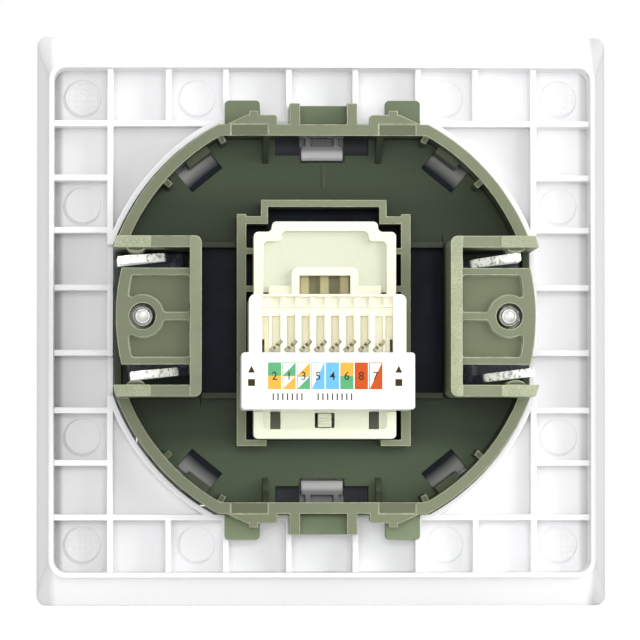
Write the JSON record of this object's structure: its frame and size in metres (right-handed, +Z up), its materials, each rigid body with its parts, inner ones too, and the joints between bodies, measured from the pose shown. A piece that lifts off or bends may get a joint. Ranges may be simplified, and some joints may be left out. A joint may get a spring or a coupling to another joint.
{
  "type": "flush modular data socket with spreading claws",
  "caption": "Flush eight-way modular data socket for a round wall box: ribbed cover frame, moulded support with spreading claws, and a punch-down jack with colour code.",
  "frame": {"origin": "middle of the socket on the wall plane, at the rear rim of the cover frame", "axes": "+Y into the wall box, along the depth; +Z up; +X to the left as seen from behind"},
  "size_m": [0.085, 0.038, 0.085],
  "materials": {
    "white_cover": "satin",
    "white_plate": "gloss",
    "black_film": "gloss",
    "support_plastic": "satin",
    "claw_steel": "zinc plated",
    "nut_steel": "zinc plated",
    "screw_steel": "zinc plated",
    "ivory_housing": "satin",
    "board_laminate": "satin",
    "amber_plastic": "satin",
    "ivory_cover": "satin",
    "ivory_block": "satin",
    "ivory_label": "satin",
    "contact_tin": "tin plated",
    "contact_gold": "gold plated"
  },
  "bodies": {
    "socket": {"cover_frame": "white_cover", "centre_plate": "white_plate", "black_liner": "black_film", "support": "support_plastic", "jack_housing": "ivory_housing", "jack_board": "board_laminate", "contact_carrier": "amber_plastic", "jack_cover": "ivory_cover", "punch_block": "ivory_block", "label_block": "ivory_label", "idc_contact_1": "contact_tin", "idc_contact_2": "contact_tin", "idc_contact_3": "contact_tin", "idc_contact_4": "contact_tin", "idc_contact_5": "contact_tin", "idc_contact_6": "contact_tin", "idc_contact_7": "contact_tin", "idc_contact_8": "contact_tin", "port_contact_1": "contact_gold", "port_contact_2": "contact_gold", "port_contact_3": "contact_gold", "port_contact_4": "contact_gold", "port_contact_5": "contact_gold", "port_contact_6": "contact_gold", "port_contact_7": "contact_gold", "port_contact_8": "contact_gold"},
    "screw_left": {"claw_screw_left": "screw_steel"},
    "screw_right": {"claw_screw_right": "screw_steel"},
    "nut_left": {"claw_nut_left": "nut_steel"},
    "nut_right": {"claw_nut_right": "nut_steel"},
    "clamp_left": {"claw_left": "claw_steel"},
    "clamp_right": {"claw_right": "claw_steel"}
  },
  "joints": [
    {"name": "screw_left_turn", "type": "hinge", "parent": "socket", "child": "screw_left", "pos_m": [0.02655, 0, 0], "axis": [0, 1, 0], "range_deg": [0, 1291]},
    {"name": "screw_right_turn", "type": "hinge", "parent": "socket", "child": "screw_right", "pos_m": [-0.02655, 0, 0], "axis": [0, 1, 0], "range_deg": [0, 1291]},
    {"name": "nut_left_slide", "type": "slide", "parent": "socket", "child": "nut_left", "axis": [0, -1, 0], "range_m": [0, 0.00179]},
    {"name": "nut_right_slide", "type": "slide", "parent": "socket", "child": "nut_right", "axis": [0, -1, 0], "range_m": [0, 0.00179]},
    {"name": "claw_left_swing", "type": "hinge", "parent": "socket", "child": "clamp_left", "pos_m": [0.02094, 0.0022, 0.00064], "axis": [-0.1132, 0, -0.9936], "range_deg": [0, 20]},
    {"name": "claw_right_swing", "type": "hinge", "parent": "socket", "child": "clamp_right", "pos_m": [-0.02094, 0.0022, -0.00064], "axis": [0.1132, 0, 0.9936], "range_deg": [0, 20]}
  ],
  "couplings": [
    {"joint": "screw_left_turn", "follows": "nut_left_slide", "rad_per_m": 12566},
    {"joint": "claw_left_swing", "follows": "nut_left_slide", "rad_per_m": 194.65},
    {"joint": "screw_right_turn", "follows": "nut_right_slide", "rad_per_m": 12566},
    {"joint": "claw_right_swing", "follows": "nut_right_slide", "rad_per_m": 194.65}
  ]
}
